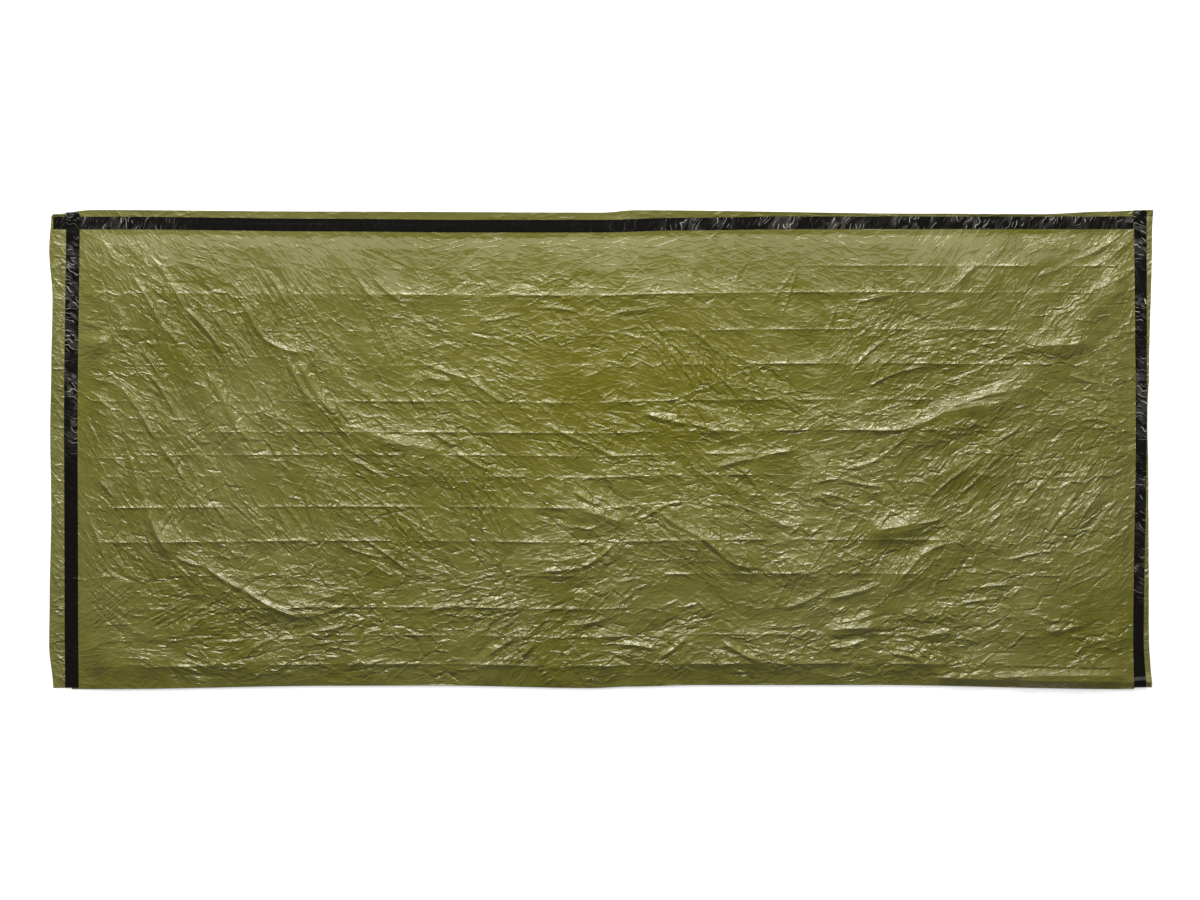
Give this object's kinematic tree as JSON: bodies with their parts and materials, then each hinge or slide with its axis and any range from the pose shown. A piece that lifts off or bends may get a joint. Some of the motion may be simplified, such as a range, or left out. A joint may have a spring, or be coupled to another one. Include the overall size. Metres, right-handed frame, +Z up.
{
  "type": "emergency sleeping bag",
  "caption": "Thin olive film sleeping bag lying flat and empty, folded along its lower side, closed by black tapes along the top and foot, open at the mouth.",
  "frame": {"origin": "on the surface that the bag lies on, under the middle of its outline", "axes": "+X along the bag from its foot to its open mouth, +Y across from the long fold to the taped long seam, +Z up, away from the surface"},
  "size_m": [2.12, 0.92, 0.0122],
  "materials": {
    "olive_film": "thin crinkled polyethylene film, metallised on the back, satin to glossy",
    "black_tape": "glossy black polyethylene tape, finely creased across"
  },
  "bodies": {
    "root": {"film": "olive_film", "tape_top": "black_tape", "tape_foot": "black_tape", "tape_mouth": "black_tape"}
  },
  "joints": []
}
